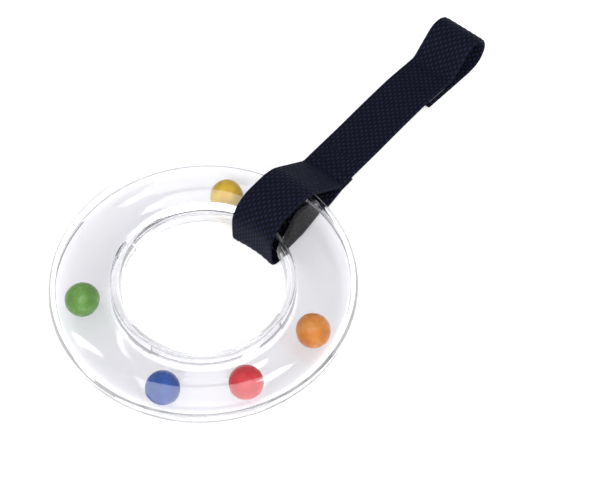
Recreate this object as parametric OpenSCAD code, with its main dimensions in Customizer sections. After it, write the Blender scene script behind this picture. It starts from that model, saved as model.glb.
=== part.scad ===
// Teething ring: a clear rattle ring with loose beads, on a webbing strap that loops round a bar.
// The ring lies flat, the strap runs along +Y, and Z = 0 is the surface that they lie on.

/* [Ring] */
// Outer diameter of the ring
ring_od = 90; // [84:0.5:96]
// Diameter of the hole through the ring
hole_d = 47.6; // [44:0.2:50]
// Height of the ring's tube
ring_h = 16; // [15.5:0.25:17]
// Radius of the tube's rounded inner and outer sides
side_r = 6.3; // [6:0.1:7]
// Wall thickness of the shells
wall = 2; // [1.6:0.1:2.2]
// Thickness of the rim around the hole
rim_wall = 3.5; // [3:0.1:4]

/* [Seam] */
// Height of the lap where one shell's skirt covers the other
lap_h = 1.9; // [1:0.1:2.4]
// Gap between a skirt and the wall that it covers
lap_gap = 0.1; // [0.05:0.05:0.2]
// Where the first skirt starts, in degrees from +X
lap_start = 7.4; // [0:0.1:89]

/* [Beads] */
// Diameter of a bead
bead_d = 10; // [9:0.1:10.4]
// Clearance under a bead
bead_gap = 0.15; // [0.1:0.05:0.4]
// Place of the yellow bead round the ring, in degrees from +X
yellow_at = 118.8; // [100:0.1:150]
// Place of the green bead
green_at = 227.8; // [190:0.1:250]
// Place of the blue bead
blue_at = 292.7; // [270:0.1:305]
// Place of the red bead
red_at = 331.2; // [325:0.1:340]
// Place of the orange bead
orange_at = 13.5; // [0:0.1:40]
// Distance of the yellow bead from the ring's centre
yellow_r = 32.5; // [32.5:0.1:36]
// Distance of the green bead
green_r = 35.2; // [32.5:0.1:36]
// Distance of the blue bead
blue_r = 35.9; // [32.5:0.1:36]
// Distance of the red bead
red_r = 34.9; // [32.5:0.1:36]
// Distance of the orange bead
orange_r = 35.2; // [32.5:0.1:36]

/* [Strap] */
// Width of the webbing
web_w = 15.3; // [12:0.1:16]
// Thickness of the webbing
web_t = 1.3; // [1:0.1:1.5]
// Distance from the ring's centre to the middle of the bar
strap_reach = 119.8; // [110:0.1:160]
// Height of the middle of the strap's run above the surface
run_z = 6.7; // [6:0.1:7.5]
// Room between the webbing and the ring's top and bottom
loop_gap = 0.35; // [0.3:0.05:0.6]
// Room between the webbing and the inside of the hole
loop_slack = 1.6; // [1.6:0.1:2.4]
// Distance from the ring's outer edge to where the two layers meet
crease_gap = 9.5; // [8:0.1:14]
// Length of the two layers that are sewn together
sewn_l = 5; // [4:0.1:8]
// Length of bare webbing left between two parts that bend
flex_gap = 0.7; // [0.6:0.1:1.2]

/* [Bar loop] */
// Diameter of the bar that the loop goes round
bar_d = 10; // [8:0.5:12]
// Room between the bar and the loop
bar_gap = 0.2; // [0.1:0.05:0.4]
// Distance from the bar's middle to where the loop closes
throat = 11; // [10:0.1:13]
// Height of the webbing's middle where the loop closes
throat_z = 5; // [4.6:0.1:5.4]
// Length of the closure beyond that point
tail_l = 11.3; // [11:0.1:16]
// Length of bare webbing left where the flap bends
flap_gap = 0.9; // [0.7:0.1:1.2]

/* [Closure patches] */
// Length of each patch along the strap
patch_l = 9; // [7:0.1:10]
// Margin of webbing beside a patch
patch_margin = 1; // [0.5:0.1:2]
// Thickness of each patch
patch_t = 0.8; // [0.6:0.1:1]
// Space between the closed patches
patch_gap = 0.3; // [0.2:0.05:0.4]

/* [Stitches] */
// Length of one stitch
stitch_l = 2; // [1.5:0.1:3]
// Width of the thread
stitch_w = 0.45; // [0.3:0.05:0.6]
// How far the thread stands proud
stitch_h = 0.25; // [0.15:0.05:0.4]
// Distance from one stitch to the next
stitch_pitch = 2.7; // [2.4:0.1:2.9]
// Distance from the stitches to the edge that they follow
stitch_edge = 0.8; // [0.6:0.1:1]

/* [Hidden] */
$fn = 96;

// The tube's cross-section is an oval of four arcs, with its middle at tube_r from the ring's axis
tube_r = (ring_od + hole_d) / 4;
tube_half_w = (ring_od - hole_d) / 4;
tube_half_h = ring_h / 2;
side_x = tube_half_w - side_r;
crown_r = (tube_half_h * tube_half_h + side_x * side_x - side_r * side_r)
    / (2 * (tube_half_h - side_r));
crown_z = crown_r - tube_half_h;
ring_z = web_t + loop_gap + tube_half_h;

// The ring's centre, so that the origin is under the middle of the whole object
bar_r = bar_d / 2 + bar_gap;
grip = 0.05;
bend_r = bar_r + web_t / 2 - grip;
far_y = strap_reach + bend_r;
ring_y = -(far_y + web_t / 2 - ring_od / 2) / 2;
bar_z = bend_r + web_t / 2;

// The skirts split each wall in two: the outer wall at split_out and the rim at split_in
split_out = ring_od / 2 - wall / 2;
split_in = hole_d / 2 + rim_wall / 2;
lap_step = 90;

// The middle of a bead on the channel's floor is this far from the middle of the floor's arc
bead_reach = crown_r - wall - bead_d / 2 - bead_gap;

// The strap bends freely just past the end of its sewn layers
crease_y = ring_od / 2 + crease_gap;
slit = 0.02;
under_z = run_z - web_t - slit;
sewn_end = crease_y + sewn_l;
fold_room = 1.1;
flex_y = sewn_end + fold_room + web_t / 2 + flex_gap / 2;
nose_off = (flex_gap + web_t) / 2;

// The webbing's ends are rounded where they turn beside another, and square elsewhere
round_cap = 8;
square_cap = 1;
bend_step = 6;

// The radii that the middle of the webbing bends to: beside the crease, above the ring, at the
// top and the bottom of the hole, below the ring, and at the two ends of the slope
crease_r = 3;
over_r = 11;
hole_top_r = 8.4;
hole_low_r = 3.35;
below_r = 8;
slope_r = 30;
throat_r = 2;

// The strap's side view: each point is [y from the ring's centre, z, bend radius] on the
// webbing's middle line
flap_angle = asin((flap_gap + web_t) / 2 / bend_r);
hook_y = strap_reach + bend_r * (1 - sin(flap_angle)) / cos(flap_angle);
loop_top = ring_z + tube_half_h + loop_gap + web_t / 2;
loop_in = hole_d / 2 - loop_slack - web_t / 2;
over_room = 0.2;
below_room = 0.4;
hug_r = crown_r + loop_gap + web_t / 2;
over_y = tangent_y([crease_y, run_z], [tube_r, ring_z - crown_z], hug_r, loop_top, -1);
below_y = tangent_y([crease_y, under_z], [tube_r, ring_z + crown_z], hug_r, web_t / 2, 1);
ring_loop_path = [
    [flex_y - nose_off, run_z, 0],
    [crease_y, run_z, crease_r],
    [over_y + over_room, loop_top, over_r],
    [loop_in, loop_top, hole_top_r],
    [loop_in, web_t / 2, hole_low_r],
    [below_y + below_room, web_t / 2, below_r],
    [crease_y, under_z, crease_r],
    [sewn_end, under_z, 0]];

throat_y = strap_reach - throat;
climb_y = tangent_y([throat_y, throat_z], [strap_reach, bar_z], bend_r, bar_z + bend_r, 1);
slope_lead = 2.5;
slope_y = throat_y - tail_l - slope_lead;
slope = atan2(throat_z - run_z, throat_y - slope_y);
run_path = [
    [flex_y + nose_off, run_z, 0],
    [slope_y, run_z, slope_r],
    [throat_y, throat_z, throat_r],
    [climb_y, bar_z + bend_r, bend_r],
    [hook_y, bar_z + bend_r, bend_r],
    loop_end(1)];

// The flap lies parallel to the sloping end of the run, with the two patches between them
stack = web_t + 2 * patch_t + patch_gap;
tail_end_y = throat_y - tail_l;
tail_z = throat_z - stack / cos(slope) + (tail_end_y - throat_y) * tan(slope);
foot_y = tail_end_y + (web_t / 2 - tail_z) / tan(slope);
flap_path = [
    [tail_end_y, tail_z, 0],
    [foot_y, web_t / 2, below_r],
    [hook_y, web_t / 2, bend_r],
    loop_end(-1)];

patch_w = web_w - 2 * patch_margin;
patch_shift = 0.4;
patch_mid_y = throat_y - tail_l / 2 - patch_shift;
patch_mid_z = throat_z + (patch_mid_y - throat_y) * tan(slope);

// Where a line from p, tangent to a circle, reaches height z. turn is -1 to pass over the circle
// seen from its right, and 1 from its left or to pass under it from its right
function tangent_y(p, c, r, z, turn) =
    let (to = atan2(c[1] - p[1], c[0] - p[0]),
        a = to + turn * asin(r / norm([c[0] - p[0], c[1] - p[1]])))
    p[0] + (z - p[1]) / tan(a);

// Where the webbing ends on each side of the bend that the flap turns at
function loop_end(side) =
    [strap_reach + bend_r * cos(flap_angle), bar_z + side * bend_r * sin(flap_angle), 0];

function flat(p) = [p[0], p[1]];
function unit(v) = v / norm(v);
function turned(v, a) = [v[0] * cos(a) - v[1] * sin(a), v[0] * sin(a) + v[1] * cos(a)];
function direction(path, i) = unit(flat(path[i + 1]) - flat(path[i]));

// One side of the webbing round bend i: side is 1 on the left of the path and -1 on its right
function bend_side(path, i, side) =
    let (before = direction(path, i - 1),
        after = direction(path, i),
        turn = atan2(cross(before, after), before * after),
        way = sign(turn),
        r = path[i][2],
        left = turned(before, 90),
        middle = flat(path[i]) - r * tan(abs(turn) / 2) * before + way * r * left,
        steps = ceil(abs(turn) / bend_step))
    [for (k = [0 : steps])
        middle - (way * r - side * web_t / 2) * turned(left, turn * k / steps)];

// An end of the webbing at p, from one side to the other in steps, by way of the angle between
function cap(p, along, from, to, steps) =
    [for (k = [0 : steps]) flat(p) + web_t / 2 * turned(along, from + (to - from) * k / steps)];

// The webbing's whole outline: up its left side, round its end, back down its right side
function outline(path, start_cap, end_cap) =
    let (last = len(path) - 1)
    concat(
        cap(path[0], direction(path, 0), 270, 90, start_cap),
        [for (i = [1 : last - 1]) each bend_side(path, i, 1)],
        cap(path[last], direction(path, last - 1), 90, -90, end_cap),
        [for (i = [1 : last - 1])
            let (side = bend_side(path, last - i, -1), end = len(side) - 1)
            for (k = [0 : end]) side[end - k]]);

// Points without those that repeat the next one
function apart(points) =
    [for (i = [0 : len(points) - 1])
        if (norm(points[(i + 1) % len(points)] - points[i]) > slit / 4) points[i]];

// The oval cross-section, shrunk by inset on every side
module oval(inset) {
    tangent_x = side_x * crown_r / (crown_r - side_r);
    intersection() {
        translate([0, -crown_z]) circle(crown_r - inset);
        translate([0, crown_z]) circle(crown_r - inset);
        square([2 * side_x * (crown_r - inset) / (crown_r - side_r), ring_h], center = true);
    }
    for (side = [-1, 1]) translate([side * side_x, 0]) circle(side_r - inset);
}

// The wall of the tube, with a straight thick rim beside the hole
module tube_wall() {
    difference() {
        translate([tube_r, 0]) oval(0);
        intersection() {
            translate([tube_r, 0]) oval(wall);
            translate([hole_d / 2 + rim_wall, -ring_h]) square([ring_od, 2 * ring_h]);
        }
    }
}

// The part of the half-plane on the skirts' side of both walls, between two heights
module skirt_side(low, high, gap) {
    translate([0, low]) square([split_in - gap, high - low]);
    translate([split_out + gap, low]) square([ring_od, high - low]);
}

// One moulded half of the ring, open side down. Two skirts hang below its edge, and the other
// half's skirts come up into the two rebates between them, so both halves are the same moulding.
module shell() {
    difference() {
        union() {
            rotate_extrude() intersection() {
                tube_wall();
                square([ring_od, ring_h]);
            }
            for (turn = [0, 180]) rotate([0, 0, turn])
                rotate_extrude(angle = lap_step) intersection() {
                    tube_wall();
                    skirt_side(-lap_h, 0, lap_gap / 2);
                }
        }
        for (turn = [lap_step, 180 + lap_step]) rotate([0, 0, turn])
            rotate_extrude(angle = lap_step) skirt_side(0, lap_h, -lap_gap / 2);
    }
}

module upper_shell() {
    color("gainsboro", 0.35) translate([0, ring_y, ring_z]) rotate([0, 0, lap_start]) shell();
}

module lower_shell() {
    color("gainsboro", 0.35) translate([0, ring_y, ring_z])
        rotate([0, 0, lap_start]) rotate([180, 0, 0]) shell();
}

// A bead on the channel's floor, at an angle round the ring and a distance from its centre
module bead(angle, path_r) {
    rise = sqrt(bead_reach * bead_reach - (path_r - tube_r) * (path_r - tube_r));
    translate([path_r * cos(angle), ring_y + path_r * sin(angle), ring_z + crown_z - rise])
        sphere(d = bead_d);
}

module bead_yellow() { color("gold") bead(yellow_at, yellow_r); }
module bead_green() { color("yellowgreen") bead(green_at, green_r); }
module bead_blue() { color("royalblue") bead(blue_at, blue_r); }
module bead_red() { color("crimson") bead(red_at, red_r); }
module bead_orange() { color("darkorange") bead(orange_at, orange_r); }

// The webbing seen from the side, with Y across and Z up
module side_view(path, start_cap, end_cap) {
    polygon(apart(outline(path, start_cap, end_cap)));
}

// Makes a side view as wide as the strap
module across_strap() {
    translate([-web_w / 2, ring_y, 0]) rotate([90, 0, 90]) linear_extrude(web_w) children();
}

module bar_hole() {
    translate([strap_reach, bar_z]) circle(bar_r);
}

module strap_run() {
    color("midnightblue") across_strap() difference() {
        side_view(run_path, round_cap, round_cap);
        bar_hole();
    }
}

module strap_flap() {
    color("midnightblue") across_strap() difference() {
        side_view(flap_path, square_cap, round_cap);
        bar_hole();
    }
}

// The two sewn layers are one solid, closed off squarely where they part
module strap_ring_loop() {
    color("midnightblue") {
        across_strap() side_view(ring_loop_path, round_cap, square_cap);
        translate([-web_w / 2, ring_y + crease_y - web_t, run_z - web_t])
            cube([web_w, sewn_l + web_t, web_t]);
    }
}

// Places children on the sloping end of the run, with Z along the webbing's normal and Z = 0 at
// its middle
module on_slope(drop) {
    translate([0, ring_y + patch_mid_y, patch_mid_z]) rotate([slope, 0, 0])
        translate([0, 0, -drop]) children();
}

module patch() {
    translate([-patch_w / 2, -patch_l / 2, -patch_t]) cube([patch_w, patch_l, patch_t]);
}

module loop_patch() {
    color("black") on_slope(web_t / 2) patch();
}

module hook_patch() {
    color("black") on_slope(web_t / 2 + patch_t + patch_gap) patch();
}

// A row of stitches along X, centred, lying on Z = 0
module stitch_row(count) {
    for (i = [0 : count - 1])
        translate([(i - (count - 1) / 2) * stitch_pitch - stitch_l / 2, -stitch_w / 2, 0])
            cube([stitch_l, stitch_w, stitch_h]);
}

// Rows of stitches round the edge of a patch
module patch_stitches() {
    edge_x = patch_w / 2 - stitch_edge;
    edge_y = patch_l / 2 - stitch_edge;
    for (side = [-1, 1]) {
        translate([0, side * edge_y, 0]) stitch_row(4);
        translate([side * edge_x, 0, 0]) rotate([0, 0, 90]) stitch_row(2);
    }
}

module loop_patch_stitching() {
    color("navy") on_slope(-web_t / 2) patch_stitches();
}

module hook_patch_stitching() {
    color("navy") on_slope(stack + web_t / 2) mirror([0, 0, 1]) patch_stitches();
}

// Two rows across the sewn layers, on top and underneath
module ring_loop_stitching() {
    color("navy") for (row_y = [crease_y + 1.5 * stitch_edge, sewn_end - stitch_edge])
        translate([0, ring_y + row_y, 0]) {
            translate([0, 0, run_z + web_t / 2]) stitch_row(5);
            translate([0, 0, under_z - web_t / 2]) mirror([0, 0, 1]) stitch_row(5);
        }
}

upper_shell();
lower_shell();
bead_yellow();
bead_green();
bead_blue();
bead_red();
bead_orange();
strap_run();
strap_flap();
strap_ring_loop();
loop_patch();
hook_patch();
ring_loop_stitching();
loop_patch_stitching();
hook_patch_stitching();
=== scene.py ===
"""A teething ring: a clear hollow ring with loose beads, on a webbing strap with a loop for a bar."""

import math

import bmesh
import bpy
import numpy as np
from mathutils import Matrix, Vector, noise


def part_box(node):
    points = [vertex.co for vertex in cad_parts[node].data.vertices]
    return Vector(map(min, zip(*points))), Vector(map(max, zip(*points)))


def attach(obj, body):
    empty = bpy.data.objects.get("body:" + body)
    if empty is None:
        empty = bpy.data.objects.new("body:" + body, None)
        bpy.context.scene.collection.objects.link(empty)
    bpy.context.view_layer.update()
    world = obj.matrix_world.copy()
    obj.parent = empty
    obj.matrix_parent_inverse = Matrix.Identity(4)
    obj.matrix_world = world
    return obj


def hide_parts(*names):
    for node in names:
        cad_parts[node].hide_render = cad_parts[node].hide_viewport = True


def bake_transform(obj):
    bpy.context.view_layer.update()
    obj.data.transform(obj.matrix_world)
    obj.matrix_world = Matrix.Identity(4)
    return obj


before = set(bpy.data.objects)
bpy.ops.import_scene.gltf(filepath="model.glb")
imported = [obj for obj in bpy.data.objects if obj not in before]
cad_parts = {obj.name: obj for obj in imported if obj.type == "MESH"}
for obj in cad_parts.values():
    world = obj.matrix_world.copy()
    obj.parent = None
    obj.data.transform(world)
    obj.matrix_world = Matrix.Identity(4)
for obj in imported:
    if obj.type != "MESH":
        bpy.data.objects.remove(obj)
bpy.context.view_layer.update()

# Sizes are in millimetres and angles in degrees, except in materials and where a comment says so
MM = 0.001


# ---------------------------------------------------------------- sizes

def middle_of(node):
    """The middle of a CAD node's box."""
    low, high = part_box(node)
    return (low + high) / (2 * MM)


# Both shells together, because the lap joint cuts each one's widest part away in two quarters
shell_corners = [corner / MM for node in ("upper_shell", "lower_shell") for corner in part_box(node)]
ring_low = Vector([min(corner[axis] for corner in shell_corners) for axis in range(3)])
ring_high = Vector([max(corner[axis] for corner in shell_corners) for axis in range(3)])
ring_r = (ring_high.x - ring_low.x) / 2
ring_mid = (ring_low + ring_high) / 2

# The ring's tube: an oval of four arcs, hollow, with a straight rim beside the hole
HOLE_R = 23.8
TUBE_H = 16
SIDE_R = 6.3
WALL = 2
RIM_WALL = 3.5
tube_r = (ring_r + HOLE_R) / 2
side_x = (ring_r - HOLE_R) / 2 - SIDE_R
half_h = TUBE_H / 2
crown_r = (half_h ** 2 + side_x ** 2 - SIDE_R ** 2) / (2 * (half_h - SIDE_R))
crown_z = crown_r - half_h

# The lap joint: skirts of one shell over the rebates of the other, in quarters of the ring
LAP_H = 1.9
LAP_GAP = 0.1
LAP_START = 7.4
SEAM_GAP = 0.04
QUARTER = 90
split_out = ring_r - WALL / 2
split_in = HOLE_R + RIM_WALL / 2

# The webbing: its size, and a weave of lengthwise yarns that rise and dip every FLOAT_L
WEB_W = 15.3
WEB_T = 1.3
WARP_ENDS = 15
FLOAT_L = 2.1
WEAVE_DEPTH = 0.26

# The routes of the webbing's middle line: distance from the ring's centre, height, bend radius
CUT_Y = 63.8
RUN_Z = 6.7
BAR_TURN_R = 5.8
BAR_ROUTE = (
    (CUT_Y, RUN_Z, 0),
    (95, RUN_Z, 30),
    (108.8, 5, 2),
    (117.745, 12.25, BAR_TURN_R),
    (125.6, 12.25, BAR_TURN_R),
    (125.6, 0.65, BAR_TURN_R),
    (117.939, 0.65, 8),
    (97.5, 3.168, 0),
)
RING_ROUTE = (
    (CUT_Y, RUN_Z, 0),
    (54.5, RUN_Z, 3),
    (39.239, 18.65, 11),
    (21.55, 18.65, 8.4),
    (21.55, 0.65, 3.35),
    (36.52, 0.65, 8),
    (54.5, 5.38, 3),
    (59.5, 5.38, 0),
)
# Where the flap's piece starts on its way down round the bar
FLAP_CUT_Z = 9.4


# ---------------------------------------------------------------- mesh helpers

def add_mesh(name, verts, faces, smooth=True):
    """A new mesh object from points in millimetres."""
    mesh = bpy.data.meshes.new(name)
    mesh.from_pydata([tuple(float(c) * MM for c in v) for v in verts], [], faces)
    mesh.update()
    obj = bpy.data.objects.new(name, mesh)
    bpy.context.scene.collection.objects.link(obj)
    if smooth:
        mesh.polygons.foreach_set("use_smooth", [True] * len(mesh.polygons))
    return obj


# Points closer than this are one point, in metres
MERGE_M = 1e-7


def clean_mesh(obj, sharp_deg=35):
    """Merges doubled points, drops empty faces, turns faces outward and marks sharp edges."""
    bm = bmesh.new()
    bm.from_mesh(obj.data)
    bmesh.ops.remove_doubles(bm, verts=bm.verts, dist=MERGE_M)
    bmesh.ops.dissolve_degenerate(bm, edges=bm.edges, dist=MERGE_M)
    bmesh.ops.recalc_face_normals(bm, faces=bm.faces)
    for edge in bm.edges:
        if len(edge.link_faces) == 2 and edge.calc_face_angle() > math.radians(sharp_deg):
            edge.smooth = False
    bm.to_mesh(obj.data)
    bm.free()


def join_rings(faces, first, rings, count):
    """Joins rings of count points each, from point first on, into a tube with a cap at each end."""
    for i in range(rings - 1):
        a, b = first + i * count, first + (i + 1) * count
        for j in range(count):
            k = (j + 1) % count
            faces.append((a + j, a + k, b + k, b + j))
    last = first + (rings - 1) * count
    faces.append(tuple(range(first, first + count))[::-1])
    faces.append(tuple(range(last, last + count)))


def arc(centre, radius, start, end, steps):
    """Points on an arc, from the start angle to the end angle."""
    return [
        (centre[0] + radius * math.cos(math.radians(a)), centre[1] + radius * math.sin(math.radians(a)))
        for a in np.linspace(start, end, steps + 1)
    ]


# ---------------------------------------------------------------- the clear shells

# How finely the shells are drawn: over the crown, round each side, down a skirt, along a quarter
CROWN_STEPS = 40
SIDE_STEPS = 14
SKIRT_STEPS = 4
RING_STEPS = 72


def outer_radius(z, side):
    """The radius of the ring's surface at height z near its seam: side is 1 outside, -1 at the hole."""
    return tube_r + side * (side_x + math.sqrt(SIDE_R ** 2 - z ** 2))


def shell_outline(edge_z):
    """One half's closed section, from the outer wall's edge at edge_z over the crown and back inside."""
    crown_half = math.degrees(math.asin(side_x / (crown_r - SIDE_R)))
    lap_angle = math.degrees(math.asin(LAP_H / SIDE_R))
    points = []
    for z in np.linspace(edge_z, LAP_H, SKIRT_STEPS + 1):
        points.append((outer_radius(z, 1), z))
    points += arc((tube_r + side_x, 0), SIDE_R, lap_angle, 90 - crown_half, SIDE_STEPS)[1:]
    points += arc((tube_r, -crown_z), crown_r, 90 - crown_half, 90 + crown_half, CROWN_STEPS)[1:]
    points += arc((tube_r - side_x, 0), SIDE_R, 90 + crown_half, 180 - lap_angle, SIDE_STEPS)[1:]
    for z in np.linspace(LAP_H, edge_z, SKIRT_STEPS + 1)[1:]:
        points.append((outer_radius(z, -1), z))
    side = math.copysign(LAP_GAP / 2, edge_z)
    inner_z = SEAM_GAP / 2
    points.append((split_in + side, edge_z))
    points.append((split_in + side, inner_z))
    points += cavity_outline(inner_z, crown_half)
    points.append((split_out - side, inner_z))
    points.append((split_out - side, edge_z))
    return points


def cavity_outline(low_z, crown_half):
    """The hollow's section: the straight rim, the inside of the crown and the outer wall's inside."""
    rim_r = HOLE_R + RIM_WALL
    inner_r = crown_r - WALL
    rim_top = math.sqrt(inner_r ** 2 - (tube_r - rim_r) ** 2) - crown_z
    start = 180 - math.degrees(math.atan2(rim_top + crown_z, tube_r - rim_r))
    points = [(rim_r, low_z), (rim_r, rim_top * 0.5)]
    points += arc((tube_r, -crown_z), inner_r, start, 90 - crown_half, CROWN_STEPS)
    wall_angle = math.degrees(math.asin(low_z / (SIDE_R - WALL)))
    points += arc((tube_r + side_x, 0), SIDE_R - WALL, 90 - crown_half, wall_angle, SIDE_STEPS)[1:]
    return points


def make_shell(name, body, node, flip):
    """One clear half of the ring: skirts hang in two opposite quarters, rebates lie in the others."""
    skirt = shell_outline(SEAM_GAP - LAP_H)
    rebate = shell_outline(LAP_H)
    verts = []
    for quarter in range(4):
        section = rebate if quarter % 2 else skirt
        for step in range(RING_STEPS + 1):
            angle = math.radians(QUARTER * (quarter + step / RING_STEPS))
            if flip:
                angle = -angle
            angle += math.radians(LAP_START)
            for r, z in section:
                verts.append((
                    ring_mid.x + r * math.cos(angle),
                    ring_mid.y + r * math.sin(angle),
                    ring_mid.z + (-z if flip else z),
                ))
    count = len(skirt)
    rings = len(verts) // count
    faces = []
    for i in range(rings):
        a, b = i * count, ((i + 1) % rings) * count
        for j in range(count):
            k = (j + 1) % count
            faces.append((a + j, b + j, b + k, a + k))
    shell = add_mesh(name, verts, faces)
    clean_mesh(shell)
    shell.data.materials.append(clear_plastic())
    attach(shell, body)
    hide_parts(node)


# ---------------------------------------------------------------- materials
# Noise scales are per metre, or per millimetre in the weave. Bump distances are in metres

def srgb(r, g, b):
    """A colour given in 0-255 sRGB, as the shader's linear one."""
    def linear(c):
        c /= 255
        return c / 12.92 if c <= 0.04045 else ((c + 0.055) / 1.055) ** 2.4
    return (linear(r), linear(g), linear(b), 1)


class Nodes:
    """Short calls for a material's node tree."""

    def __init__(self, name):
        self.material = bpy.data.materials.new(name)
        self.material.use_nodes = True
        self.tree = self.material.node_tree
        self.shader = self.tree.nodes["Principled BSDF"]

    def add(self, kind, **values):
        """A new node with these settings."""
        node = self.tree.nodes.new(kind)
        for key, value in values.items():
            setattr(node, key, value)
        return node

    def link(self, source, target):
        """Joins an output to an input."""
        self.tree.links.new(source, target)

    def set(self, **values):
        """Sets the shader's own sockets, with _ for each space in their names."""
        for key, value in values.items():
            self.shader.inputs[key.replace("_", " ")].default_value = value

    def place(self):
        """Coordinates in the object's own space, in metres."""
        return self.add("ShaderNodeTexCoord").outputs["Object"]

    def noise(self, vector, scale, detail=3.0, rough=0.5):
        """Soft noise round 0.5."""
        node = self.add("ShaderNodeTexNoise")
        node.inputs["Scale"].default_value = scale
        node.inputs["Detail"].default_value = detail
        node.inputs["Roughness"].default_value = rough
        self.link(vector, node.inputs["Vector"])
        return node.outputs["Fac"]

    def stretch(self, vector, scale):
        """Coordinates multiplied along each axis."""
        node = self.add("ShaderNodeVectorMath", operation="MULTIPLY")
        self.link(vector, node.inputs[0])
        node.inputs[1].default_value = scale
        return node.outputs["Vector"]

    def ramp(self, source, stops):
        """Colours along a value: pairs of position and colour."""
        node = self.add("ShaderNodeValToRGB")
        ramp = node.color_ramp
        while len(ramp.elements) < len(stops):
            ramp.elements.new(0.5)
        for element, (position, colour) in zip(ramp.elements, stops):
            element.position = position
            element.color = colour
        self.link(source, node.inputs["Fac"])
        return node.outputs["Color"]

    def range(self, source, low, high, to_low, to_high):
        """A value moved from one span to another, and kept inside it."""
        node = self.add("ShaderNodeMapRange")
        keys = ("From Min", "From Max", "To Min", "To Max")
        for key, value in zip(keys, (low, high, to_low, to_high)):
            node.inputs[key].default_value = value
        self.link(source, node.inputs["Value"])
        return node.outputs["Result"]

    def mix(self, factor, a, b, blend="MIX"):
        """Two colours mixed. The node has one set of sockets per type: 0, 6 and 7 are the colours'."""
        node = self.add("ShaderNodeMix", data_type="RGBA", blend_type=blend)
        for key, value in ((0, factor), (6, a), (7, b)):
            if isinstance(value, (int, float, tuple)):
                node.inputs[key].default_value = value
            else:
                self.link(value, node.inputs[key])
        return node.outputs[2]

    def bump(self, height, strength, distance):
        """Relief on the shader's own normal."""
        node = self.add("ShaderNodeBump")
        node.inputs["Strength"].default_value = strength
        node.inputs["Distance"].default_value = distance
        self.link(height, node.inputs["Height"])
        self.link(node.outputs["Normal"], self.shader.inputs["Normal"])


made_materials = {}


def once(maker):
    """A material made at the first call and shared after that."""
    def get(*args):
        key = (maker.__name__,) + args
        if key not in made_materials:
            made_materials[key] = maker(*args)
        return made_materials[key]
    return get


@once
def clear_plastic():
    """Polished clear plastic with faint flow marks and fine scuffs."""
    n = Nodes("clear_plastic")
    n.set(Base_Color=srgb(249, 249, 251), IOR=1.5, Transmission_Weight=1.0, Roughness=0.02)
    place = n.place()
    scuffs = n.noise(n.stretch(place, (1, 1, 0.2)), 900, 6, 0.7)
    n.link(n.range(scuffs, 0.5, 0.8, 0.015, 0.09), n.shader.inputs["Roughness"])
    n.bump(n.noise(place, 60, 2), 0.12, 0.0002)
    return n.material


@once
def bead_plastic(name, red, green, blue, fleck):
    """Moulded plastic, cloudy, with specks. fleck says how pale they are and how much they show."""
    n = Nodes(name)
    place = n.place()
    base = srgb(red, green, blue)
    dark = srgb(red * 0.9, green * 0.87, blue * 0.85)
    pale = srgb(*(c + (255 - c) * fleck for c in (red, green, blue)))
    cloud = n.ramp(n.noise(place, 260, 4, 0.6), ((0.3, dark), (0.55, base), (0.8, pale)))
    specks = n.range(n.noise(place, 1500, 3, 0.7), 0.6, 0.72, 0, fleck)
    n.link(n.mix(specks, cloud, pale), n.shader.inputs["Base Color"])
    n.link(n.range(n.noise(place, 700, 4), 0.3, 0.7, 0.16, 0.34), n.shader.inputs["Roughness"])
    n.set(IOR=1.45, Specular_IOR_Level=0.35, Subsurface_Weight=0.1, Subsurface_Scale=0.002)
    n.bump(n.noise(place, 1100, 4, 0.6), 0.2, 0.0003)
    return n.material


@once
def webbing_cloth():
    """Navy woven nylon with fine filaments, with painted shade in the weave's grooves and painted light
    on the yarns that stand up.

    The weave attribute holds the place across and along the webbing in millimetres, and the height.
    """
    n = Nodes("webbing")
    weave = n.add("ShaderNodeAttribute", attribute_name="weave").outputs["Vector"]
    parts = n.add("ShaderNodeSeparateXYZ")
    n.link(weave, parts.inputs["Vector"])
    height = parts.outputs["Z"]
    filaments = n.noise(n.stretch(weave, (9, 1.1, 0)), 1.6, 3, 0.6)
    # Painted shade and light: the colour runs from dark in the weave's grooves to pale on the raised
    # yarns, by the weave's height.
    shade = n.ramp(height, ((0.0, srgb(3, 4, 10)), (0.5, srgb(12, 14, 32)), (1.0, srgb(31, 35, 60))))
    streaks = n.ramp(filaments, ((0.3, (0.55, 0.55, 0.6, 1)), (0.7, (1.35, 1.35, 1.3, 1))))
    patches = n.noise(n.stretch(weave, (1, 1, 0)), 0.35, 4, 0.6)
    wear = n.ramp(patches, ((0.35, (0.8, 0.82, 0.9, 1)), (0.7, (1.25, 1.2, 1.15, 1))))
    colour = n.mix(1.0, n.mix(1.0, shade, streaks, "MULTIPLY"), wear, "MULTIPLY")
    n.link(colour, n.shader.inputs["Base Color"])
    n.link(n.range(filaments, 0.3, 0.7, 0.62, 0.85), n.shader.inputs["Roughness"])
    n.set(Sheen_Weight=0.05, Sheen_Roughness=0.45, Sheen_Tint=srgb(150, 165, 215), IOR=1.45)
    n.set(Specular_IOR_Level=0.12)
    n.bump(filaments, 0.5, 0.00012)
    return n.material


@once
def closure_tape(name, scale):
    """Dark knitted tape under the pile or the hooks."""
    n = Nodes(name)
    place = n.place()
    fuzz = n.noise(place, scale, 5, 0.7)
    shade = n.ramp(fuzz, ((0.3, srgb(8, 9, 16)), (0.75, srgb(34, 36, 54))))
    n.link(shade, n.shader.inputs["Base Color"])
    n.set(Roughness=0.9, Sheen_Weight=0.3, Sheen_Roughness=0.6)
    n.bump(fuzz, 0.8, 0.0002)
    return n.material


@once
def thread():
    """Twisted polyester thread."""
    n = Nodes("thread")
    place = n.place()
    twist = n.noise(n.stretch(place, (3, 1, 1)), 2600, 3, 0.6)
    shade = n.ramp(twist, ((0.3, srgb(5, 6, 15)), (0.7, srgb(16, 18, 34))))
    n.link(shade, n.shader.inputs["Base Color"])
    n.set(Roughness=0.75, Specular_IOR_Level=0.15)
    n.bump(twist, 0.6, 0.00015)
    return n.material


# Light that the floor gives off itself, which thins the shadows to those of the photograph
FLOOR_GLOW = 0.48


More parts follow.
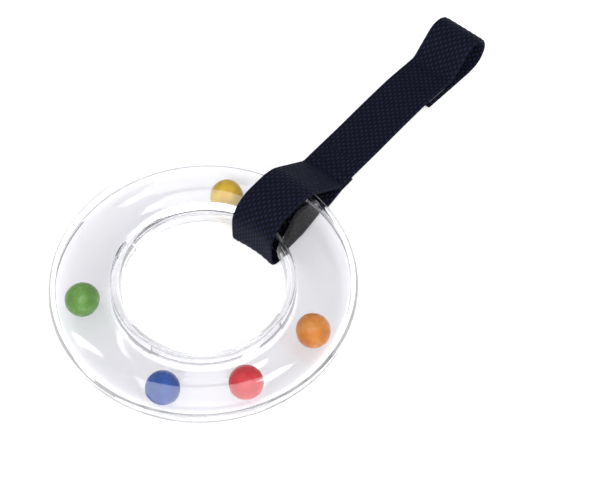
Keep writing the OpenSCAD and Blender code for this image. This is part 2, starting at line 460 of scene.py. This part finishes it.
@once
def floor_paper():
    """Plain pale studio paper."""
    n = Nodes("floor_paper")
    grain = n.noise(n.place(), 40, 4)
    shade = n.ramp(grain, ((0.3, srgb(248, 248, 249)), (0.7, srgb(250, 250, 251))))
    n.link(shade, n.shader.inputs["Base Color"])
    n.set(Roughness=0.9, Specular_IOR_Level=0.2)
    n.set(Emission_Color=(1, 1, 1, 1), Emission_Strength=FLOOR_GLOW)
    return n.material


# ---------------------------------------------------------------- the beads

BEAD_D = 10
BEAD_DETAIL = 6
# The ball is drawn this much small, so that its parting line stays inside the CAD bead
BEAD_INSET = 0.04
# The parting line's height, and its width as a share of the radius
RIDGE_H = 0.035
RIDGE_W = 0.025
# The gate mark's depth, and its spread as a share of the radius
GATE_DEPTH = 0.12
GATE_W = 0.006
# Each bead's colour in sRGB, and how pale and plain its specks are
BEADS = {
    "yellow": (255, 206, 0, 0.12),
    "green": (112, 182, 60, 0.42),
    "blue": (0, 84, 184, 0.1),
    "red": (244, 32, 50, 0.18),
    "orange": (255, 154, 34, 0.36),
}


def make_bead(colour, look):
    """A moulded ball with a fine parting line and a small gate mark."""
    centre = middle_of("bead_" + colour)
    bm = bmesh.new()
    bmesh.ops.create_icosphere(bm, subdivisions=BEAD_DETAIL, radius=BEAD_D / 2)
    # Each bead lies turned its own way, which follows from the letters of its colour
    seed = sum(map(ord, colour))
    axis = Vector((1, 0.6, seed % 7 - 3)).normalized()
    tilt = Matrix.Rotation(math.radians(37 * seed % 180), 3, axis)
    for v in bm.verts:
        unit = v.co.normalized()
        local = tilt @ unit
        ridge = RIDGE_H * math.exp(-(local.z / RIDGE_W) ** 2)
        gate = -GATE_DEPTH * math.exp(-((1 - local.x) / GATE_W) ** 2)
        v.co = unit * (BEAD_D / 2 - BEAD_INSET + ridge + gate)
    bmesh.ops.scale(bm, vec=(MM, MM, MM), verts=bm.verts)
    bmesh.ops.translate(bm, vec=centre * MM, verts=bm.verts)
    mesh = bpy.data.meshes.new(f"ball_{colour}")
    bm.to_mesh(mesh)
    bm.free()
    mesh.polygons.foreach_set("use_smooth", [True] * len(mesh.polygons))
    bead = bpy.data.objects.new(f"ball_{colour}", mesh)
    bpy.context.scene.collection.objects.link(bead)
    mesh.materials.append(bead_plastic(f"bead_{colour}", *look))
    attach(bead, "bead_" + colour)
    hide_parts("bead_" + colour)


# ---------------------------------------------------------------- the webbing

SAMPLE_STEP = 0.3
# The step at which a route is first traced, before it is sampled evenly
FINE_STEP = 0.05
POINTS_PER_END = 5
# How far the webbing strays sideways, and how far its surface ripples
SWAY = 0.1
RIPPLE = 0.06
# How far past the wall of the hole the webbing still bows with it
BOW_REACH = 3


def follow(route):
    """Even samples along a route: an array of distance, y, z and the left normal's y and z."""
    corners = [np.array(p[:2], float) for p in route]
    pieces = []
    here = corners[0]
    for i in range(1, len(route) - 1):
        back = corners[i - 1] - corners[i]
        ahead = corners[i + 1] - corners[i]
        back /= np.linalg.norm(back)
        ahead /= np.linalg.norm(ahead)
        half = math.acos(np.clip(back @ ahead, -1, 1)) / 2
        bend_r = route[i][2]
        reach = bend_r / math.tan(half)
        inward = back + ahead
        centre = corners[i] + bend_r / math.sin(half) * inward / np.linalg.norm(inward)
        start, end = corners[i] + reach * back, corners[i] + reach * ahead
        pieces.append(("line", here, start))
        pieces.append(("arc", start, end, centre))
        here = end
    pieces.append(("line", here, corners[-1]))
    dense = []
    for piece in pieces:
        a, b = piece[1], piece[2]
        if piece[0] == "line":
            for t in np.linspace(0, 1, max(2, int(np.linalg.norm(b - a) / FINE_STEP))):
                dense.append(a + (b - a) * t)
            continue
        centre = piece[3]
        from_a = math.atan2(*(a - centre)[::-1])
        turn = (math.atan2(*(b - centre)[::-1]) - from_a + math.pi) % (2 * math.pi) - math.pi
        radius = np.linalg.norm(a - centre)
        for t in np.linspace(0, 1, max(3, int(abs(turn) * radius / FINE_STEP))):
            angle = from_a + turn * t
            dense.append(centre + radius * np.array((math.cos(angle), math.sin(angle))))
    dense = np.array(dense)
    gaps = np.linalg.norm(np.diff(dense, axis=0), axis=1)
    dense = dense[np.r_[True, gaps > 1e-6]]
    along = np.r_[0, np.cumsum(np.linalg.norm(np.diff(dense, axis=0), axis=1))]
    count = int(round(along[-1] / SAMPLE_STEP)) + 1
    s = np.linspace(0, along[-1], count)
    y, z = np.interp(s, along, dense[:, 0]), np.interp(s, along, dense[:, 1])
    dy, dz = np.gradient(y, s), np.gradient(z, s)
    size = np.hypot(dy, dz)
    return np.stack([s, y, z, -dz / size, dy / size], axis=1)


def weave_height(u, v):
    """How far a yarn stands up at u across and v along the webbing, 0 to 1."""
    pitch = WEB_W / WARP_ENDS
    place = (u + WEB_W / 2) / pitch
    end = np.floor(place)
    across = np.sin(math.pi * (place - end)) ** 0.7
    along = 0.5 + 0.5 * np.cos(2 * math.pi * (v / FLOAT_L + 0.5 * (end % 2)))
    return across * (0.15 + 0.85 * along ** 0.7)


def across_samples():
    """Places across the webbing, from edge to edge, finer at the edges."""
    inside = np.linspace(-WEB_W / 2, WEB_W / 2, WARP_ENDS * POINTS_PER_END + 1)
    edge = np.array([0.03, 0.1])
    left, right = inside[0] + edge, inside[-1] - edge[::-1]
    return np.concatenate([inside[:1], left, inside[1:-1], right, inside[-1:]])


def sweep_webbing(name, samples, direction, bow=False):
    """Webbing along samples of a route, and its length.

    direction is 1 where the route runs away from the ring and -1 where it runs towards it, so that
    the weave carries on from piece to piece. bow curves the webbing along the wall of the hole.
    """
    u = across_samples()
    edge = np.abs(2 * u / WEB_W)
    half_t = WEB_T / 2 * np.clip(1 - edge ** 14, 0, 1) ** 0.5
    rows, weaves = [], []
    for s, y, z, ny, nz in samples:
        v = direction * s
        sway = SWAY * noise.noise(Vector((0.0, v * 0.06, 3.1)))
        lift = RIPPLE * np.array([noise.noise(Vector((c * 0.12, v * 0.09, 7.7))) for c in u])
        for side in (1, -1):
            grid = u if side == 1 else u[::-1][1:-1]
            half = half_t if side == 1 else half_t[::-1][1:-1]
            rise = lift if side == 1 else lift[::-1][1:-1]
            h = weave_height(grid, v + (0 if side == 1 else FLOAT_L / 2))
            off = side * (half - WEAVE_DEPTH * (1 - h) * (half * 2 / WEB_T)) + rise
            x = grid + sway
            py, pz = y + ny * off, z + nz * off
            if bow:
                hug = np.sqrt(HOLE_R ** 2 - x ** 2) - math.sqrt(HOLE_R ** 2 - (WEB_W / 2) ** 2)
                py = py + hug * max(0.0, -direction * ny) ** 2 * (y < HOLE_R + BOW_REACH)
            rows.append(np.stack([ring_mid.x + x, ring_mid.y + py, pz], axis=1))
            # The height h goes into the weave attribute, where it also sets the webbing's painted shade
            # in the grooves and painted light on the raised yarns.
            weaves.append(np.stack([grid, np.full_like(grid, v), h], axis=1))
    faces = []
    join_rings(faces, 0, len(samples), 2 * len(u) - 2)
    web = add_mesh(name, np.concatenate(rows), faces)
    values = web.data.attributes.new("weave", "FLOAT_VECTOR", "POINT")
    values.data.foreach_set("vector", np.concatenate(weaves).astype(np.float32).ravel())
    clean_mesh(web, 75)
    web.data.materials.append(webbing_cloth())
    length = samples[-1][0] - samples[0][0]
    return web, length


def make_webbing():
    """The strap's three stretches, which meet end to end where it doesn't bend."""
    bar = follow(BAR_ROUTE)
    top = int(np.argmax(bar[:, 2]))
    cut = top + int(np.argmax(bar[top:, 2] < FLAP_CUT_Z))
    run, length = sweep_webbing("webbing_run", bar[:cut + 1], 1)
    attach(run, "strap")
    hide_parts("strap_run")

    flap, length = sweep_webbing("webbing_flap", bar[cut:], 1)
    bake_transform(flap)
    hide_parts("strap_flap")

    loop, length = sweep_webbing("webbing_ring_loop", follow(RING_ROUTE), -1, bow=True)
    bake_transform(loop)
    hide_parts("strap_ring_loop")


# ---------------------------------------------------------------- the closure patches

PATCH_W = 13.3
PATCH_L = 9
PATCH_T = 0.8
# The strap's slope under the patches
SLOPE = -7.02

# The tape: its corners, its rounded edge, its share of the patch's thickness and how far off the
# middle it lies, as another share
TAPE_CORNER = 0.8
TAPE_EDGE = 0.12
TAPE_SHARE = 0.55
TAPE_SHIFT = 0.22
CORNER_STEPS = 24

# A hook's bent wire, as pairs of reach and height, and the grid the hooks stand in
HOOK_PATH = ((0, 0), (0, 0.3), (0.06, 0.44), (0.18, 0.48), (0.28, 0.4), (0.3, 0.3))
HOOK_R = 0.07
HOOK_SIDES = 5
HOOK_PITCH_X = 0.95
HOOK_PITCH_Y = 0.82
HOOK_MARGIN = 1.2
HOOK_STAGGER = 0.2

# The pile's loops of fibre
PILE_SEED = 7
PILE_LOOPS = 900
PILE_MARGIN = 0.5
PILE_STEPS = 7
PILE_TALL = 1.3
FIBRE_R = 0.025
FIBRE_SIDES = 3


def slope_turn():
    """The turn from level to the strap's slope."""
    return Matrix.Rotation(math.radians(SLOPE), 3, "X")


def on_slope(points, node):
    """Points round a patch's middle, turned onto the strap's slope and moved to the CAD node."""
    middle = middle_of(node)
    turn = slope_turn()
    return [turn @ Vector(p) + middle for p in points]


def make_tape():
    """The woven backing of a patch: a thin slab with rounded edges and corners."""
    verts, faces = [], []
    for t, inset in ((-0.5, TAPE_EDGE), (-0.3, 0), (0.3, 0), (0.5, TAPE_EDGE)):
        for i in range(4 * CORNER_STEPS):
            quarter, part = divmod(i, CORNER_STEPS)
            angle = math.radians(90 * quarter + 90 * part / (CORNER_STEPS - 1))
            corner = TAPE_CORNER - inset
            cx = (PATCH_W / 2 - TAPE_CORNER) * (1, -1, -1, 1)[quarter]
            cy = (PATCH_L / 2 - TAPE_CORNER) * (1, 1, -1, -1)[quarter]
            x, y = cx + corner * math.cos(angle), cy + corner * math.sin(angle)
            verts.append((x, y, t * PATCH_T * TAPE_SHARE))
    join_rings(faces, 0, 4, 4 * CORNER_STEPS)
    return verts, faces


def make_hooks(sign):
    """Rows of small hooks standing on a patch, which lean to and fro by turns."""
    verts, faces = [], []
    columns = int((PATCH_W - HOOK_MARGIN) / HOOK_PITCH_X)
    rows = int((PATCH_L - HOOK_MARGIN) / HOOK_PITCH_Y)
    for i in range(columns + 1):
        for j in range(rows + 1):
            x0 = (i - columns / 2) * HOOK_PITCH_X + (HOOK_STAGGER if j % 2 else -HOOK_STAGGER)
            y0 = (j - rows / 2) * HOOK_PITCH_Y
            lean = 1 if (i + j) % 2 else -1
            base = len(verts)
            for reach, height in HOOK_PATH:
                for corner in range(HOOK_SIDES):
                    angle = 2 * math.pi * corner / HOOK_SIDES
                    x = x0 + HOOK_R * math.cos(angle)
                    y = y0 + lean * reach + HOOK_R * math.sin(angle)
                    verts.append((x, y, sign * height))
            join_rings(faces, base, len(HOOK_PATH), HOOK_SIDES)
    return verts, faces


def make_pile(sign):
    """Short curled loops of fibre standing on a patch, placed from a fixed seed."""
    rng = np.random.default_rng(PILE_SEED)
    verts, faces = [], []
    for _ in range(PILE_LOOPS):
        x0 = rng.uniform(-PATCH_W / 2 + PILE_MARGIN, PATCH_W / 2 - PILE_MARGIN)
        y0 = rng.uniform(-PATCH_L / 2 + PILE_MARGIN, PATCH_L / 2 - PILE_MARGIN)
        heading = rng.uniform(0, 2 * math.pi)
        size = rng.uniform(0.16, 0.3)
        base = len(verts)
        for k in range(PILE_STEPS):
            a = math.pi * k / (PILE_STEPS - 1)
            px = x0 + size * math.cos(a) * math.cos(heading)
            py = y0 + size * math.cos(a) * math.sin(heading)
            pz = size * math.sin(a) * PILE_TALL
            for corner in range(FIBRE_SIDES):
                b = 2 * math.pi * corner / FIBRE_SIDES
                verts.append((
                    px + FIBRE_R * math.cos(b) * -math.sin(heading),
                    py + FIBRE_R * math.cos(b) * math.cos(heading),
                    sign * (pz + FIBRE_R * math.sin(b)),
                ))
        join_rings(faces, base, PILE_STEPS, FIBRE_SIDES)
    return verts, faces


def make_patch(name, node, body, material, cover, sign):
    """A closure patch: its tape against the webbing, and its hooks or pile towards the other patch."""
    verts, faces = make_tape()
    shift = -sign * PATCH_T * TAPE_SHIFT
    verts = [(x, y, z + shift) for x, y, z in verts]
    first = len(verts)
    cover_verts, cover_faces = cover(sign)
    verts += cover_verts
    faces += [tuple(first + i for i in face) for face in cover_faces]
    patch = add_mesh(name, on_slope(verts, node), faces)
    clean_mesh(patch, 50)
    patch.data.materials.append(material)
    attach(patch, body)
    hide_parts(node)


# ---------------------------------------------------------------- the stitching

STITCH_L = 2.2
STITCH_PITCH = 2.7
# From a row of stitches to the edge it follows
STITCH_EDGE = 0.8
# The CAD's stitch is a small block of this width and height
CAD_STITCH_W = 0.45
CAD_STITCH_H = 0.25
# How far a stitch rises from its ends to its middle, and how deep its ends start
STITCH_RISE = 0.2
STITCH_SINK = 0.12
# The thread, and the twist that shows two plies
THREAD_R = 0.17
PLY_DEPTH = 0.12
PLY_TURN = 9
THREAD_TURN = 2.2
STITCH_STEPS = 12
THREAD_SIDES = 8
# The slit left between the two sewn layers
LAYER_GAP = 0.02


def stitch(verts, faces, place, along, up):
    """Adds one stitch: a thread that rises from the webbing, runs along it and dips back."""
    along, up = Vector(along), Vector(up)
    side = along.cross(up)
    base = len(verts)
    for k in range(STITCH_STEPS + 1):
        t = k / STITCH_STEPS
        rise = STITCH_RISE * math.sin(math.pi * t) ** 0.6 - STITCH_SINK
        middle = place + along * (t - 0.5) * STITCH_L + up * rise
        r = THREAD_R * (0.6 + 0.4 * math.sin(math.pi * t))
        for c in range(THREAD_SIDES):
            a = 2 * math.pi * c / THREAD_SIDES + THREAD_TURN * t
            ply = 1 + PLY_DEPTH * math.cos(2 * a - PLY_TURN * t)
            verts.append(middle + (side * math.cos(a) + up * math.sin(a)) * r * ply)
    join_rings(faces, base, STITCH_STEPS + 1, THREAD_SIDES)


def finish_stitches(name, verts, faces, body, node):
    """Makes the stitches into one piece that rides on its body."""
    row = add_mesh(name, verts, faces)
    clean_mesh(row, 80)
    row.data.materials.append(thread())
    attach(row, body)
    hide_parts(node)


def make_loop_stitches():
    """Two rows across the sewn layers, on top and underneath."""
    verts, faces = [], []
    low, high = (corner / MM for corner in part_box("ring_loop_stitching"))
    for y in (low.y + CAD_STITCH_W / 2, high.y - CAD_STITCH_W / 2):
        for z, up in ((RUN_Z + WEB_T / 2, 1), (RUN_Z - 1.5 * WEB_T - LAYER_GAP, -1)):
            for i in range(5):
                place = Vector((ring_mid.x + (i - 2) * STITCH_PITCH, y, z))
                stitch(verts, faces, place, (1, 0, 0), (0, 0, up))
    finish_stitches("thread_ring_loop", verts, faces, "ring_loop", "ring_loop_stitching")


def make_patch_stitches(name, node, body, up):
    """A box of stitches round the edge of a patch, on the webbing's far side."""
    verts, faces = [], []
    middle = middle_of(node)
    turn = slope_turn()
    edge_x, edge_y = PATCH_W / 2 - STITCH_EDGE, PATCH_L / 2 - STITCH_EDGE
    normal = turn @ Vector((0, 0, up))
    spots = []
    for side in (-1, 1):
        spots += [((i - 1.5) * STITCH_PITCH, side * edge_y, (1, 0, 0)) for i in range(4)]
    for side in (-1, 1):
        spots += [(side * edge_x, (i - 0.5) * STITCH_PITCH, (0, 1, 0)) for i in range(2)]
    for x, y, along in spots:
        place = turn @ Vector((x, y, -up * CAD_STITCH_H / 2)) + middle
        stitch(verts, faces, place, turn @ Vector(along), normal)
    finish_stitches(name, verts, faces, body, node)


# ---------------------------------------------------------------- floor, light and camera

FLOOR_REACH = 3000
FLOOR_DROP = 0.05


def make_floor():
    """A wide pale floor just under the object."""
    corners = [(x * FLOOR_REACH, y * FLOOR_REACH, 0) for x, y in ((-1, -1), (1, -1), (1, 1), (-1, 1))]
    floor = add_mesh("floor", corners, [(0, 1, 2, 3)], smooth=False)
    floor.location.z = -FLOOR_DROP * MM
    floor.data.materials.append(floor_paper())


def add_softbox(name, place, aim, size, power):
    """A rectangular area light that faces aim, with places and sizes in metres and power in watts."""
    light = bpy.data.lights.new(name, "AREA")
    light.shape = "RECTANGLE"
    light.size, light.size_y = size
    light.energy = power
    box = bpy.data.objects.new(name, light)
    box.location = place
    box.rotation_euler = (Vector(aim) - Vector(place)).to_track_quat("-Z", "Y").to_euler()
    bpy.context.scene.collection.objects.link(box)


CAMERA_AZIMUTH = 40.4
CAMERA_ELEVATION = 55.46
CAMERA_ROLL = -0.69
CAMERA_DISTANCE = 635.1
AIM_FROM_RING = Vector((10.35, 29.49, 0))
LENS = 131.3
SENSOR = 36

# The large soft box on the camera's side, with its distance in metres
FRONT_ELEVATION = 50
FRONT_DISTANCE = 1.6
SURROUND_STRENGTH = 0.5
WHITE = (1, 1, 1, 1)


def toward(azimuth, elevation):
    """From the object towards something seen at these angles. Azimuth 0 is at -Y, and 90 at +X."""
    azimuth, elevation = math.radians(azimuth), math.radians(elevation)
    return Vector((
        math.sin(azimuth) * math.cos(elevation),
        -math.cos(azimuth) * math.cos(elevation),
        math.sin(elevation),
    ))


def make_lights():
    """A pale surround, a large soft box on the camera's side and a small one at the right and left."""
    world = bpy.data.worlds.new("studio")
    world.use_nodes = True
    background = world.node_tree.nodes["Background"]
    background.inputs["Color"].default_value = WHITE
    background.inputs["Strength"].default_value = SURROUND_STRENGTH
    bpy.context.scene.world = world
    aim = ring_mid * MM
    front = aim + toward(CAMERA_AZIMUTH, FRONT_ELEVATION) * FRONT_DISTANCE
    add_softbox("front", front, aim, (1.8, 1.8), 25)
    add_softbox("right_box", aim + Vector((0.62, 0.12, 1.0)), aim, (0.26, 0.26), 1.7)
    add_softbox("left_strip", (-0.72, -0.60, 0.75), aim, (0.16, 0.6), 1.2)


def make_camera():
    """The camera above and to the right of the ring, looking along the strap's side."""
    azimuth, roll = math.radians(CAMERA_AZIMUTH), math.radians(CAMERA_ROLL)
    back = toward(CAMERA_AZIMUTH, CAMERA_ELEVATION)
    right = Vector((math.cos(azimuth), math.sin(azimuth), 0))
    up = back.cross(right)
    turned_right = right * math.cos(roll) + up * math.sin(roll)
    turned_up = up * math.cos(roll) - right * math.sin(roll)
    place = (ring_mid + AIM_FROM_RING + back * CAMERA_DISTANCE) * MM
    data = bpy.data.cameras.new("camera")
    data.lens = LENS
    data.sensor_width = SENSOR
    data.sensor_fit = "HORIZONTAL"
    data.clip_start = 0.01
    camera = bpy.data.objects.new("camera", data)
    camera.matrix_world = Matrix((
        (turned_right.x, turned_up.x, back.x, place.x),
        (turned_right.y, turned_up.y, back.y, place.y),
        (turned_right.z, turned_up.z, back.z, place.z),
        (0, 0, 0, 1),
    ))
    bpy.context.scene.collection.objects.link(camera)
    bpy.context.scene.camera = camera


# ---------------------------------------------------------------- build

make_camera()
make_lights()
make_floor()
bpy.context.scene.view_settings.view_transform = "Standard"
# A line of sight can pass through several plastic walls, so light needs many bounces
bpy.context.scene.cycles.max_bounces = 32
bpy.context.scene.cycles.transmission_bounces = 32
bpy.context.scene.cycles.glossy_bounces = 16

make_shell("shell_upper", "ring", "upper_shell", False)
make_shell("shell_lower", "ring", "lower_shell", True)
for colour, look in BEADS.items():
    make_bead(colour, look)
make_webbing()
make_patch("pile_patch", "loop_patch", "strap", closure_tape("pile", 1800), make_pile, -1)
make_patch("hook_tape", "hook_patch", "flap", closure_tape("hooks", 2600), make_hooks, 1)
make_loop_stitches()
make_patch_stitches("thread_pile_patch", "loop_patch_stitching", "strap", 1)
make_patch_stitches("thread_hook_tape", "hook_patch_stitching", "flap", -1)
